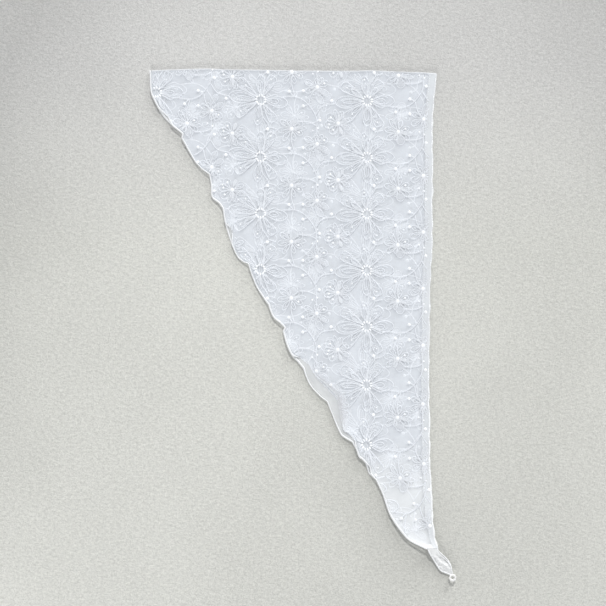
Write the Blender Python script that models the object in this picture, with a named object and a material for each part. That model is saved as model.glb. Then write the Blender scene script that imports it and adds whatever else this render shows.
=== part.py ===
"""Triangular embroidered shawl, folded in half across its middle and laid flat.

The panel is one triangle of sheer embroidered cloth.  Its long edge is straight
and hemmed, its two short edges are overlocked and wavy, and its two ends are
gathered into small tie tips.  Folded, one half lies on the other: the fold is at
the top (+Y), the long edge at the right (+X), the tips at the bottom (-Y).

Frame: origin at the middle of the underside of the bounding box, +X to the long
edge, +Y to the fold, +Z up from the surface that the shawl lies on.
Sizes are in millimetres and are turned into metres when the meshes are made.
"""
import math
from collections import namedtuple

import bmesh
import bpy
from mathutils import Vector

# ------------------------------------------------------------------ sizes (mm)
MM = 0.001

FOLD_LENGTH = 287.7        # along the fold, from the point of the triangle to the long edge
FOLD_DROP = 2.8            # the long-edge end of the fold lies this much lower
SHORT_EDGE = 553.6         # straight distance from the fold corner to the neck
SHORT_EDGE_DIR = (0.5013, -0.8653)   # direction of that line in plan
HALF_LONG_EDGE = 474.6     # from the fold down to the neck

CLOTH = 1.0                # wall of the panel
LAYER_PITCH = 1.4          # middle of the lower layer to middle of the upper layer
FOLD_PUFF = 1.0            # extra rise of the upper layer at the fold
FOLD_PUFF_REACH = 11.0     # distance in which that rise dies out
SEAM = 0.3                 # clearance between pieces that meet

ROLL_WIDTH = 2.3           # overlocked edge, across
ROLL_THICK = 1.3           # overlocked edge, through
HEM_WIDTH = 8.0            # turned hem of the long edge
HEM_NECK_WIDTH = 4.6       # the same hem where it is drawn in at the neck
HEM_THICK = 1.2

TIP_WALL = 1.0             # wall of a gathered tip
TIP_PLEAT = 0.55           # half height of its gathers
TIP_PLEAT_PITCH = 4.3      # distance from gather to gather
TIP_AXIS = (0.563, -0.826)           # direction of the tips in plan
TIP_ROOT = (284.0, -479.3)           # middle of the neck in plan

LOOP_RADIUS = 2.85         # thread loop, centre line
LOOP_CORD = 1.05           # half the thickness of its cord
LOOP_ALONG = 33.7          # its centre, measured from the root of the tips
LOOP_RISE = 2.7            # height of its centre
LOOP_TILT = 20.0           # degrees; the free side stands up

ROW_STEP = 13.0            # rows are no further apart than this, down the wavy edge
NOSE_STEPS = 5             # steps round the fold
COLUMNS = 12               # columns from the wavy edge to the hem

# Wavy short edge, a row for each wave, from the notch that starts it.
#   along: distance from the fold corner, down the straight line to the neck
#   out:   how far the edge stands outside that line
#   lift:  how far the upper layer's edge is raised there
Wave = namedtuple("Wave", "notch_along notch_out notch_lift rise_along rise_out "
                          "crest_along crest_out crest_lift fall_along fall_out fall_lift")
WAVES = (
    #    notch               rise           crest                fall
    Wave(0.0, 0.0, 0.0,      24.0, 10.4,    44.0, 11.4, 0.9,     58.0, 8.7, 1.0),
    Wave(71.9, 3.6, 1.3,     75.4, 6.3,     99.5, 6.8, 0.3,      110.4, 5.0, 0.9),
    Wave(120.4, 0.7, 1.5,    130.0, 4.3,    141.8, 9.6, 0.5,     150.6, 6.4, 1.2),
    Wave(156.1, 5.8, 1.7,    174.0, 12.4,   205.0, 17.5, 0.4,    213.3, 14.9, 1.2),
    Wave(216.8, 11.8, 1.7,   228.0, 14.3,   243.0, 16.0, 0.5,    254.0, 15.4, 0.9),
    Wave(262.6, 14.6, 1.4,   267.6, 15.8,   275.0, 16.6, 3.0,    284.6, 13.5, 3.4),
    Wave(290.1, 12.0, 2.4,   292.4, 15.1,   317.0, 19.6, 2.8,    327.0, 17.6, 3.2),
    Wave(335.0, 16.3, 2.6,   342.0, 18.0,   351.0, 19.1, 1.0,    367.0, 16.1, 1.4),
    Wave(375.8, 12.6, 2.0,   388.0, 14.5,   411.0, 17.0, 0.8,    417.0, 14.6, 1.6),
    Wave(423.0, 11.0, 2.3,   432.0, 11.3,   439.5, 12.5, 0.9,    443.5, 10.7, 1.3),
    Wave(448.0, 10.0, 1.7,   453.0, 11.0,   458.5, 12.3, 1.0,    463.5, 10.8, 1.5),
    Wave(467.6, 9.5, 1.9,    480.0, 10.4,   508.0, 14.8, 1.2,    532.0, 12.3, 5.4),
    Wave(553.6, -0.2, 4.6,   555.0, -0.2,   556.0, -0.2, 4.6,    557.0, -0.2, 4.6),
)
LOWER_SHARE = 0.3          # lift of the lower layer's edge, as a share of the upper's

# Straight long edge: how far it stands from the line through its fold end.
LONG_EDGE = (
    # down    bow
    (0.0, 0.0),
    (33.0, -3.0),
    (58.0, -4.0),
    (151.0, -3.9),
    (240.0, -7.0),
    (326.0, -7.5),
    (408.0, -5.8),
    (440.0, -4.1),
    (464.0, -1.8),
    (474.6, 1.4),
)

# Fold: how far it stands above the line between its two ends.
FOLD_LINE = (
    # across  rise
    (0.0, 0.0),
    (18.0, 1.3),
    (40.0, 2.2),
    (80.0, 2.8),
    (180.0, 3.3),
    (250.0, 2.9),
    (275.0, 1.4),
    (287.7, 0.0),
)

# Reach of the lifted edge into the cloth, a row for each stretch of the edge.
REACH = (
    # along  upper lower
    (0.0, 14.0, 8.0),
    (120.0, 22.0, 12.0),
    (290.0, 38.0, 20.0),
    (360.0, 30.0, 16.0),
    (470.0, 24.0, 14.0),
    (553.6, 20.0, 12.0),
)

# Gathered tip, a row for each rib across it.
#   along, slant: where the rib crosses the tip's axis, and its slope to it
#   left, upper, lower: ends of the rib, left, and right on each layer
#   height, pitch: middle of the lower layer, and from there to the upper layer
Rib = namedtuple("Rib", "along slant left upper lower height pitch")
TIP_RIBS = (
    Rib(-0.7, 0.55, -4.8, 3.4, 5.2, 2.20, 2.9),
    Rib(3.0, 0.40, -5.5, 2.8, 4.7, 1.90, 2.4),
    Rib(7.5, 0.25, -5.7, 3.5, 5.3, 1.50, 1.9),
    Rib(12.0, 0.12, -5.7, 4.8, 6.2, 1.20, 1.6),
    Rib(17.0, 0.00, -5.8, 6.0, 6.8, 1.05, 1.4),
    Rib(21.5, 0.00, -5.9, 6.1, 6.7, 1.05, 1.4),
    Rib(25.0, 0.00, -3.8, 5.3, 5.9, 1.00, 1.4),
    Rib(28.0, 0.00, -1.7, 3.5, 4.1, 0.90, 1.4),
    Rib(29.3, 0.00, -0.9, 2.3, 2.7, 0.85, 1.4),
)


# ---------------------------------------------------------------- small helpers
def table(rows, column, key):
    """Value of a column at key: straight between rows."""
    if key <= rows[0][0]:
        return rows[0][column]
    for low, high in zip(rows, rows[1:]):
        if key <= high[0]:
            share = (key - low[0]) / (high[0] - low[0])
            return low[column] + share * (high[column] - low[column])
    return rows[-1][column]


def edge_marks():
    """Marks along the wavy edge: place, outline, lift, and whether it is a notch."""
    marks = []
    for wave in WAVES:
        marks.append((wave.notch_along, wave.notch_out, wave.notch_lift, True))
        marks.append((wave.rise_along, wave.rise_out, None, False))
        marks.append((wave.crest_along, wave.crest_out, wave.crest_lift, False))
        marks.append((wave.fall_along, wave.fall_out, wave.fall_lift, False))
    return marks[:-3]


OUTLINE = [(m[0], m[1], m[3]) for m in edge_marks()]
LIFTS = [(m[0], m[2]) for m in edge_marks() if m[2] is not None]


def scallop(key):
    """Outline of the wavy edge: round at its crests, a corner at its notches."""
    rows = OUTLINE
    k = 0
    while k < len(rows) - 2 and key > rows[k + 1][0]:
        k += 1

    def run(i):
        return (rows[i + 1][1] - rows[i][1]) / (rows[i + 1][0] - rows[i][0])

    def slope(i):
        if i == 0 or i == len(rows) - 1 or rows[i][2]:
            return run(k)                 # each side of a notch keeps its own slope
        before, after = run(i - 1), run(i)
        if before * after <= 0:
            return 0.0
        return 2 * before * after / (before + after)

    gap = rows[k + 1][0] - rows[k][0]
    u = (key - rows[k][0]) / gap
    return ((1 + 2 * u) * (1 - u) ** 2 * rows[k][1] + u * (1 - u) ** 2 * gap * slope(k)
            + u * u * (3 - 2 * u) * rows[k + 1][1] + u * u * (u - 1) * gap * slope(k + 1))


def lift(key):
    """Rise of the upper layer's edge, easing in and out of each mark."""
    for low, high in zip(LIFTS, LIFTS[1:]):
        if key <= high[0]:
            share = (key - low[0]) / (high[0] - low[0])
            share = share * share * (3.0 - 2.0 * share)
            return low[1] + share * (high[1] - low[1])
    return LIFTS[-1][1]


def fade(distance, reach):
    """1 at an edge, 0 at its reach."""
    return min(1.0, max(0.0, 1.0 - distance / reach)) ** 2


# ------------------------------------------------------------- form of the cloth
def wavy_point(t):
    """Point of the wavy edge in plan, t from 0 at the fold to 1 at the neck."""
    along = SHORT_EDGE * t
    out = scallop(along)
    dx, dy = SHORT_EDGE_DIR
    return Vector((dx * along + dy * out, dy * along - dx * out))


def wavy_inward(t):
    """Direction in plan from the wavy edge into the cloth."""
    step = 0.004
    low, high = max(0.0, t - step), min(1.0, t + step)
    run = (wavy_point(high) - wavy_point(low)).normalized()
    inward = Vector((-run.y, run.x))
    level = Vector((1.0, 0.0))
    mix = 0.75 * inward + 0.25 * level
    return mix.normalized()


def straight_point(t):
    """Point of the long edge in plan."""
    down = HALF_LONG_EDGE * t
    return Vector((FOLD_LENGTH + table(LONG_EDGE, 1, down), -FOLD_DROP - down))


def hem_width(t):
    share = max(0.0, (t - 0.93) / 0.07)
    return HEM_WIDTH + (HEM_NECK_WIDTH - HEM_WIDTH) * share


def across(t, inset):
    """Plan point on the row t, at a distance from the wavy edge."""
    left = wavy_point(t) + wavy_inward(t) * min(inset, ROLL_WIDTH + SEAM)
    if inset <= ROLL_WIDTH + SEAM:
        return left
    right = straight_point(t)
    span = (right - left).length
    return left + (right - left) * ((inset - ROLL_WIDTH - SEAM) / span)


def row_length(t):
    """Distance across a row, from the wavy edge to the long edge."""
    left = wavy_point(t) + wavy_inward(t) * (ROLL_WIDTH + SEAM)
    return ROLL_WIDTH + SEAM + (straight_point(t) - left).length


def heights(t, inset):
    """Middle of the lower and the upper layer."""
    along = SHORT_EDGE * t
    down = HALF_LONG_EDGE * t
    to_hem = max(0.0, row_length(t) - hem_width(t) - inset)
    inside = inset - ROLL_WIDTH - SEAM
    low_edge = fade(inside, table(REACH, 2, along))
    up_edge = fade(inside, table(REACH, 1, along))
    hem = fade(to_hem, 10.0)
    lower = CLOTH / 2
    lower += max((ROLL_THICK - CLOTH) / 2 * low_edge, (HEM_THICK - CLOTH) / 2 * hem)
    lower += LOWER_SHARE * lift(along) * low_edge
    upper = CLOTH / 2 + LAYER_PITCH
    upper += max(0.35 * up_edge, 0.2 * hem)
    upper += lift(along) * up_edge
    upper += FOLD_PUFF * math.exp(-down / FOLD_PUFF_REACH)
    return lower, max(upper, lower + LAYER_PITCH)


def row_places():
    """Rows from the fold to the neck: at each mark of the wavy edge, and between."""
    places = [0.0]
    for mark in OUTLINE[1:]:
        while mark[0] - places[-1] > ROW_STEP:
            places.append(places[-1] + min(ROW_STEP, (mark[0] - places[-1]) / 2))
        places.append(mark[0])
    return [place / SHORT_EDGE for place in places]


ROW_PLACES = row_places()


def stations():
    """Rows from the lower neck, round the fold, to the upper neck."""
    rows = [("lower", t, 0.0) for t in reversed(ROW_PLACES)]
    rows += [("nose", 0.0, k / NOSE_STEPS) for k in range(1, NOSE_STEPS)]
    rows += [("upper", t, 0.0) for t in ROW_PLACES]
    return rows


def middle(station, inset):
    """Point in the middle of the wall, and the direction out through the wall."""
    layer, t, turn = station
    plan = across(t, inset)
    lower, upper = heights(t, inset)
    # the first rows follow the slightly bowed fold
    bow = table(FOLD_LINE, 1, plan.x) * math.exp(-HALF_LONG_EDGE * t / 40.0)
    first = heights(0.0, inset)
    radius = (first[1] - first[0]) / 2
    back = (radius + CLOTH / 2) * max(0.0, 1.0 - t * 12.0)
    x, y = plan.x, plan.y + bow - back
    if layer == "lower":
        return Vector((x, y, lower)), Vector((0, 0, -1))
    if layer == "upper":
        return Vector((x, y, upper)), Vector((0, 0, 1))
    angle = math.pi * turn - math.pi / 2
    out = Vector((0.0, math.cos(angle), math.sin(angle)))
    return Vector((x, y, (lower + upper) / 2)) + out * radius, out


# ------------------------------------------------------------------ mesh makers
def material(name, colour, roughness):
    made = bpy.data.materials.new(name)
    made.use_nodes = True
    shader = made.node_tree.nodes["Principled BSDF"]
    shader.inputs["Base Color"].default_value = (*colour, 1.0)
    shader.inputs["Roughness"].default_value = roughness
    shader.inputs["Metallic"].default_value = 0.0
    made.diffuse_color = (*colour, 1.0)
    return made


def add(name, points, faces, skin, smooth=True):
    mesh = bpy.data.meshes.new(name)
    mesh.from_pydata([tuple(Vector(p) * MM) for p in points], [], faces)
    form = bmesh.new()
    form.from_mesh(mesh)
    bmesh.ops.recalc_face_normals(form, faces=form.faces)
    form.to_mesh(mesh)
    form.free()
    mesh.materials.append(skin)
    if smooth:
        mesh.shade_smooth()
        mesh.set_sharp_from_angle(angle=math.radians(40))
    made = bpy.data.objects.new(name, mesh)
    bpy.context.scene.collection.objects.link(made)
    return made


def folded_wall(name, skin, insets, thick):
    """A wall round the fold; insets(t) gives the places of its columns."""
    points, faces = [], []
    rows = stations()
    count = len(insets(0.5))
    for station in rows:
        for side in (0.5, -0.5):
            for inset in insets(station[1]):
                spot, out = middle(station, inset)
                points.append(spot + out * (side * thick))
    ring = 2 * count

    def outer(i, j):
        return i * ring + j

    def inner(i, j):
        return i * ring + count + j

    for i in range(len(rows) - 1):
        # both layers are split along the same diagonal
        flip = rows[i][0] == "lower"
        for j in range(count - 1):
            for level in (outer, inner):
                a, b = level(i, j), level(i, j + 1)
                c, d = level(i + 1, j + 1), level(i + 1, j)
                if flip:
                    faces += [(a, b, d), (b, c, d)]
                else:
                    faces += [(a, b, c), (a, c, d)]
        for j in (0, count - 1):
            a, b = outer(i, j), outer(i + 1, j)
            c, d = inner(i + 1, j), inner(i, j)
            faces += [(a, b, c), (a, c, d)]
    for i in (0, len(rows) - 1):
        for j in range(count - 1):
            faces.append((outer(i, j), outer(i, j + 1), inner(i, j + 1), inner(i, j)))
    return add(name, points, faces, skin)


def folded_roll(name, skin, sides):
    """The overlocked edge: an oval section run down both layers, round the fold."""
    points, faces = [], []
    rows = stations()
    flat = math.cos(math.pi / sides)
    for station in rows:
        spot, out = middle(station, ROLL_WIDTH / 2)
        for k in range(sides):
            angle = 2 * math.pi * (k + 0.5) / sides
            inset = ROLL_WIDTH / 2 * (1 + math.cos(angle) / flat)
            rise = ROLL_THICK / 2 * math.sin(angle) / flat
            side, _ = middle(station, inset)
            points.append(Vector((side.x, side.y, spot.z)) + out * rise)
    for i in range(len(rows) - 1):
        for k in range(sides):
            n = (k + 1) % sides
            a, b = i * sides + k, i * sides + n
            c, d = (i + 1) * sides + n, (i + 1) * sides + k
            faces += [(a, b, c), (a, c, d)]
    faces.append(tuple(range(sides)))
    faces.append(tuple((len(rows) - 1) * sides + k for k in range(sides)))
    return add(name, points, faces, skin)


def gathered_tip(name, skin, layer):
    """A gathered end: ribs across a short flap, with soft gathers along it."""
    along = Vector((TIP_AXIS[0], TIP_AXIS[1]))
    side = Vector((-along.y, along.x))
    columns = 10
    points, faces = [], []
    for rib in TIP_RIBS:
        right = rib.upper if layer == "upper" else rib.lower
        rise = rib.pitch if layer == "upper" else 0.0
        for sign in (0.5, -0.5):
            for j in range(columns + 1):
                off = rib.left + (right - rib.left) * j / columns
                plan = Vector(TIP_ROOT) + along * (rib.along + rib.slant * off) + side * off
                depth = TIP_PLEAT * min(1.0, (30.5 - rib.along) / 12.0)
                wave = depth * math.cos(2 * math.pi * (off + 0.06 * rib.along) / TIP_PLEAT_PITCH)
                middle_height = max(rib.height + wave, TIP_WALL / 2)
                points.append(Vector((plan.x, plan.y, middle_height + rise + sign * TIP_WALL)))
    ring = 2 * (columns + 1)
    last = len(TIP_RIBS) - 1
    for i in range(last):
        for j in range(columns):
            for level in (0, columns + 1):
                a = i * ring + level + j
                faces += [(a, a + 1, a + ring + 1), (a, a + ring + 1, a + ring)]
        for j in (0, columns):
            a, c = i * ring + j, i * ring + columns + 1 + j
            faces += [(a, a + ring, c + ring), (a, c + ring, c)]
    for i in (0, last):
        for j in range(columns):
            a, c = i * ring + j, i * ring + columns + 1 + j
            faces.append((a, a + 1, c + 1, c))
    return add(name, points, faces, skin)


def thread_loop(name, skin):
    """A small ring of thread at the end of the tips, its free side a little up."""
    along = Vector((TIP_AXIS[0], TIP_AXIS[1], 0.0))
    side = Vector((-along.y, along.x, 0.0))
    tilt = math.radians(LOOP_TILT)
    ahead = along * math.cos(tilt) + Vector((0, 0, math.sin(tilt)))
    up = ahead.cross(side) * -1.0
    if up.z < 0:
        up = -up
    centre = Vector((TIP_ROOT[0], TIP_ROOT[1], LOOP_RISE)) + along * LOOP_ALONG + side * 0.5
    turns, sides = 20, 6
    points, faces = [], []
    for i in range(turns):
        a = 2 * math.pi * i / turns
        out = ahead * math.cos(a) + side * math.sin(a)
        for k in range(sides):
            b = 2 * math.pi * k / sides
            points.append(centre + out * (LOOP_RADIUS + LOOP_CORD * math.cos(b)) + up * (LOOP_CORD * math.sin(b)))
    for i in range(turns):
        for k in range(sides):
            a, b = i * sides + k, i * sides + (k + 1) % sides
            c, d = ((i + 1) % turns) * sides + (k + 1) % sides, ((i + 1) % turns) * sides + k
            faces.append((a, b, c, d))
    return add(name, points, faces, skin)


# ----------------------------------------------------------------------- pieces
def panel_insets(t):
    """Columns of the panel, closer together near the wavy edge."""
    start = ROLL_WIDTH + SEAM
    end = row_length(t) - hem_width(t) - SEAM
    return [start + (end - start) * (j / COLUMNS) ** 1.6 for j in range(COLUMNS + 1)]


def hem_insets(t):
    end = row_length(t)
    return [end - hem_width(t), end - hem_width(t) / 2, end]


def build():
    for old in list(bpy.data.objects):
        bpy.data.objects.remove(old, do_unlink=True)

    voile = material("embroidered_voile", (0.80, 0.83, 0.87), 0.85)
    hem = material("hem_voile", (0.84, 0.86, 0.89), 0.85)
    overlock = material("overlock_thread", (0.90, 0.90, 0.91), 0.7)
    tip_up = material("tip_voile_upper", (0.82, 0.84, 0.87), 0.85)
    tip_low = material("tip_voile_lower", (0.80, 0.82, 0.85), 0.85)
    loop = material("loop_thread", (0.90, 0.89, 0.88), 0.7)

    pieces = [
        folded_wall("shawl_panel", voile, panel_insets, CLOTH),
        folded_wall("long_edge_hem", hem, hem_insets, HEM_THICK),
        folded_roll("rolled_edge", overlock, 8),
        gathered_tip("tip_upper", tip_up, "upper"),
        gathered_tip("tip_lower", tip_low, "lower"),
        thread_loop("thread_loop", loop),
    ]

    # put the middle of the bounding box's underside at the origin
    spots = [v.co for piece in pieces for v in piece.data.vertices]
    low = [min(s[k] for s in spots) for k in range(3)]
    high = [max(s[k] for s in spots) for k in range(3)]
    shift = Vector(((low[0] + high[0]) / 2, (low[1] + high[1]) / 2, low[2]))
    for piece in pieces:
        for vertex in piece.data.vertices:
            vertex.co -= shift
    print("shift_mm", [round(v / MM, 4) for v in shift], "size_mm", [round((h - l) / MM, 3) for l, h in zip(low, high)])


build()
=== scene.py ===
"""Looks of a triangular shawl of sheer embroidered voile, folded in half and laid flat.

Lengths are in millimetres in a flat layout until a mesh is made: u runs right along the
fold from its corner, v runs up, z is the height above the surface.  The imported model's
frame has its origin elsewhere, so CORNER moves every point there.
"""
import math
import random
from collections import namedtuple

import bmesh
import bpy
import numpy as np
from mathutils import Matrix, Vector
from mathutils.bvhtree import BVHTree


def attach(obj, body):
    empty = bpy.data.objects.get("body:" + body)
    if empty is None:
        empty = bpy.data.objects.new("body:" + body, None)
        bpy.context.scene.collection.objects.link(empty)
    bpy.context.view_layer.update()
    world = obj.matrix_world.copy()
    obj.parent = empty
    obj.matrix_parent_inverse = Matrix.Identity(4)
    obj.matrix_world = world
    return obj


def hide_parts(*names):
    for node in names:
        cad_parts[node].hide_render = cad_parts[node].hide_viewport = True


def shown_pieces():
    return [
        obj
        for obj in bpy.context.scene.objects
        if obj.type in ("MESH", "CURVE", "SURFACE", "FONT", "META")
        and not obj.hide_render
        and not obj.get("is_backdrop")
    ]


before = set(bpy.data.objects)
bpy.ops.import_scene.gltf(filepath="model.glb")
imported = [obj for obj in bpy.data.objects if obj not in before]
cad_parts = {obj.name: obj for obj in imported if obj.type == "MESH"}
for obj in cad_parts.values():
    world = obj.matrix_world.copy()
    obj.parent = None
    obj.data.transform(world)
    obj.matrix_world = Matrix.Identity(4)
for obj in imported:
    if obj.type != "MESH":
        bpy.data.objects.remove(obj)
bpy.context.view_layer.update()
scene = bpy.context.scene
rng = random.Random(41)

MM = 0.001
CORNER = np.array((153.6025, -254.2743, 0.0))     # what the layout is moved back by

# ------------------------------------------------------------- sizes, as in the part
FOLD_LENGTH = 287.7
FOLD_DROP = 2.8
SHORT_EDGE = 553.6
SHORT_EDGE_DIR = (0.5013, -0.8653)
HALF_LONG_EDGE = 474.6
LAYER_PITCH = 1.4
FOLD_PUFF = 0.35
FOLD_PUFF_REACH = 15.0
SEAM = 0.3
ROLL_WIDTH = 2.3
HEM_WIDTH = 8.0
HEM_NECK_WIDTH = 4.6
TIP_AXIS = (0.563, -0.826)
TIP_ROOT = (284.0, -479.3)
LOOP_RADIUS = 2.62
LOOP_CORD = 1.0
LOOP_ALONG = 33.7
LOOP_RISE = 4.2
LOOP_TILT = 26.0

Wave = namedtuple("Wave", "notch_along notch_out notch_lift rise_along rise_out "
                          "crest_along crest_out crest_lift fall_along fall_out fall_lift")
WAVES = (
    Wave(0.0, 0.0, 0.0,      24.0, 10.4,    44.0, 11.4, 0.9,     58.0, 8.7, 1.0),
    Wave(71.9, 3.6, 1.3,     75.4, 6.3,     99.5, 6.8, 0.3,      110.4, 5.0, 0.9),
    Wave(120.4, 0.7, 1.5,    130.0, 4.3,    141.8, 9.6, 0.5,     150.6, 6.4, 1.2),
    Wave(156.1, 5.8, 1.7,    174.0, 12.4,   205.0, 17.5, 0.4,    213.3, 14.9, 1.2),
    Wave(216.8, 11.8, 1.7,   228.0, 14.3,   243.0, 16.0, 0.5,    254.0, 15.4, 0.9),
    Wave(262.6, 14.6, 1.1,   267.6, 15.8,   275.0, 16.6, 1.3,    284.6, 13.5, 1.8),
    Wave(290.1, 12.0, 1.4,   292.4, 15.1,   317.0, 19.6, 1.7,    327.0, 17.6, 2.3),
    Wave(335.0, 16.3, 2.6,   342.0, 18.0,   351.0, 19.1, 1.0,    367.0, 16.1, 1.4),
    Wave(375.8, 12.6, 2.0,   388.0, 14.5,   411.0, 17.0, 0.8,    417.0, 14.6, 1.6),
    Wave(423.0, 11.0, 2.3,   432.0, 11.3,   439.5, 12.5, 0.9,    443.5, 10.7, 1.3),
    Wave(448.0, 10.0, 1.7,   453.0, 11.0,   458.5, 12.3, 1.0,    463.5, 10.8, 1.5),
    Wave(467.6, 9.5, 1.9,    480.0, 10.4,   508.0, 14.8, 1.0,    532.0, 12.3, 2.2),
    Wave(553.6, -0.2, 4.0,   555.0, -0.2,   556.0, -0.2, 4.0,    557.0, -0.2, 4.0),
)
LOWER_SHARE = 0.3
LONG_EDGE = ((0.0, 0.0), (33.0, -3.0), (58.0, -4.0), (151.0, -3.9), (240.0, -7.0),
             (326.0, -7.5), (408.0, -5.8), (440.0, -4.1), (464.0, -1.8), (474.6, 1.4))
FOLD_LINE = ((0.0, 0.0), (18.0, 1.2), (40.0, 2.2), (60.0, 2.8), (75.0, 2.2), (100.0, 2.1), (125.0, 1.9), (150.0, 1.7),
             (180.0, 1.8), (207.0, 2.1), (219.0, 2.6), (233.0, 2.4), (245.0, 1.9), (262.0, 1.4), (275.0, 1.2), (287.7, 0.0))
REACH = ((0.0, 14.0, 8.0), (120.0, 22.0, 12.0), (290.0, 38.0, 20.0),
         (360.0, 30.0, 16.0), (470.0, 24.0, 14.0), (553.6, 20.0, 12.0))
Rib = namedtuple("Rib", "along slant left upper lower height pitch")
TIP_RIBS = (
    Rib(-0.7, 0.55, -4.6, 4.3, 4.9, 2.20, 2.9),
    Rib(3.0, 0.40, -5.1, 2.6, 4.1, 1.90, 2.4),
    Rib(7.5, 0.25, -5.4, 3.0, 5.3, 1.50, 1.9),
    Rib(12.0, 0.12, -5.6, 4.5, 6.5, 1.20, 1.6),
    Rib(17.0, 0.00, -6.0, 5.8, 7.0, 1.05, 1.4),
    Rib(20.0, 0.00, -6.1, 6.1, 7.0, 1.05, 1.4),
    Rib(22.5, 0.00, -5.3, 5.9, 6.5, 1.05, 1.4),
    Rib(25.5, 0.00, -3.0, 4.8, 5.3, 1.00, 1.4),
    Rib(28.0, 0.00, -1.1, 3.3, 3.8, 0.90, 1.4),
    Rib(31.0, 0.00, 0.6, 2.5, 2.8, 0.85, 1.4),
)

# Where the upper layer's edge draws back from the lower one's: along the edge, distance, lift there.
DRAWN = ((0, 0, 0), (38, 0, 0), (45, 2.2, 0.3), (50, 2.8, 0.4), (56, 1.0, 0.2), (60, 0, 0),
         (170, 0, 0), (174, 2.6, 0.4), (179, 4.6, 0.8), (185, 2.4, 0.5), (191, 0, 0),
         (318, 0, 0), (324, 3.6, 0.1), (331, 6.2, 0.0), (338, 6.8, 0.0),
         (345, 8.6, 0.0), (352, 11.0, 0.0), (360, 12.4, 0.0), (368, 12.0, 0.0), (376, 10.6, 0.0), (386, 8.4, 0.0),
         (396, 6.4, 0.0), (404, 4.8, 0.3), (409, 4.2, 0.9), (413, 6.2, 1.6), (418, 5.4, 1.6), (424, 2.4, 0.8), (430, 0, 0),
         (447, 0, 0), (452, 2.4, 0.5), (458, 2.0, 0.4), (463, 0.4, 0.2), (466, 0, 0), (553.6, 0, 0))

# Soft creases: from (u, v) to (u, v), half width, height (below 0 a trough).
CREASES_UPPER = (
    ((22, -62), (78, -48), 7.0, 0.45), ((30, -50), (70, -36), 5.0, -0.30),
    ((38, -100), (96, -92), 8.0, 0.40), ((62, -120), (120, -128), 9.0, -0.35),
    ((70, -146), (128, -150), 7.0, 0.45), ((92, -176), (150, -186), 9.0, 0.40),
    ((100, -200), (160, -196), 7.0, -0.35), ((118, -232), (172, -226), 8.0, 0.55),
    ((136, -258), (190, -250), 8.0, -0.45), ((150, -280), (206, -286), 9.0, 0.55),
    ((168, -312), (222, -320), 8.0, 0.45), ((184, -340), (228, -332), 7.0, -0.40),
    ((198, -366), (246, -372), 8.0, 0.50), ((222, -398), (262, -404), 6.0, 0.40),
    ((240, -420), (270, -440), 6.0, -0.40), ((252, -436), (280, -474), 5.0, 0.70),
    ((262, -430), (283, -474), 4.0, -0.55), ((274, -420), (287, -472), 4.0, 0.60),
    ((10, -3.4), (30, -3.0), 1.8, -0.55), ((110, -12), (190, -20), 9.0, 0.22),
    ((200, -60), (262, -74), 11.0, 0.25), ((150, -96), (232, -90), 12.0, -0.22),
    ((224, -150), (280, -166), 10.0, 0.25), ((186, -214), (262, -222), 12.0, -0.22),
    ((230, -282), (280, -276), 9.0, 0.25),
    ((141, -254), (144.5, -269), 3.2, -0.9), ((147.5, -255), (148, -271), 1.6, 0.5),
    ((80, -153), (86, -166), 2.4, -0.7), ((121, -228), (131, -248), 3.0, -0.9), ((152, -282), (159, -296), 2.8, -0.9),
    ((126, -224), (137, -246), 2.6, 0.6),
)
CREASES_LOWER = (
    ((40, -80), (120, -96), 9.0, 0.30), ((90, -30), (180, -24), 12.0, 0.25),
    ((120, -170), (210, -160), 11.0, 0.30), ((160, -240), (250, -252), 10.0, 0.25),
    ((200, -330), (262, -342), 9.0, 0.30), ((236, -400), (274, -430), 7.0, 0.30),
    ((160, -300), (171, -322), 2.4, 1.0), ((173, -318), (188, -330), 2.8, 1.0), ((177, -307), (186, -321), 2.2, 0.8),
    ((184, -336), (191, -352), 2.4, 0.7),
)


# ------------------------------------------------------------- outline and heights
def edge_marks():
    marks = []
    for w in WAVES:
        marks.append((w.notch_along, w.notch_out, w.notch_lift, True))
        marks.append((w.rise_along, w.rise_out, None, False))
        marks.append((w.crest_along, w.crest_out, w.crest_lift, False))
        marks.append((w.fall_along, w.fall_out, w.fall_lift, False))
    return marks[:-3]


OUTLINE = [(m[0], m[1], m[3]) for m in edge_marks()]
LIFTS = [(m[0], m[2]) for m in edge_marks() if m[2] is not None]


def scallop(key):
    """Outline of the wavy edge: round at its crests, a corner at its notches."""
    rows, k = OUTLINE, 0
    while k < len(rows) - 2 and key > rows[k + 1][0]:
        k += 1

    def run(i):
        return (rows[i + 1][1] - rows[i][1]) / (rows[i + 1][0] - rows[i][0])

    def slope(i):
        if i == 0 or i == len(rows) - 1 or rows[i][2]:
            return run(k)
        before, after = run(i - 1), run(i)
        return 0.0 if before * after <= 0 else 2 * before * after / (before + after)

    gap = rows[k + 1][0] - rows[k][0]
    x = (key - rows[k][0]) / gap
    return ((1 + 2 * x) * (1 - x) ** 2 * rows[k][1] + x * (1 - x) ** 2 * gap * slope(k)
            + x * x * (3 - 2 * x) * rows[k + 1][1] + x * x * (x - 1) * gap * slope(k + 1))


def lift(key):
    for low, high in zip(LIFTS, LIFTS[1:]):
        if key <= high[0]:
            x = (key - low[0]) / (high[0] - low[0])
            return low[1] + x * x * (3 - 2 * x) * (high[1] - low[1])
    return LIFTS[-1][1]


ALONG = np.linspace(0.0, SHORT_EDGE, 2216)
OUT = np.array([scallop(a) for a in ALONG])
RISE = np.array([lift(a) for a in ALONG])
_soft = np.hanning(17) / np.hanning(17).sum()
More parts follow.
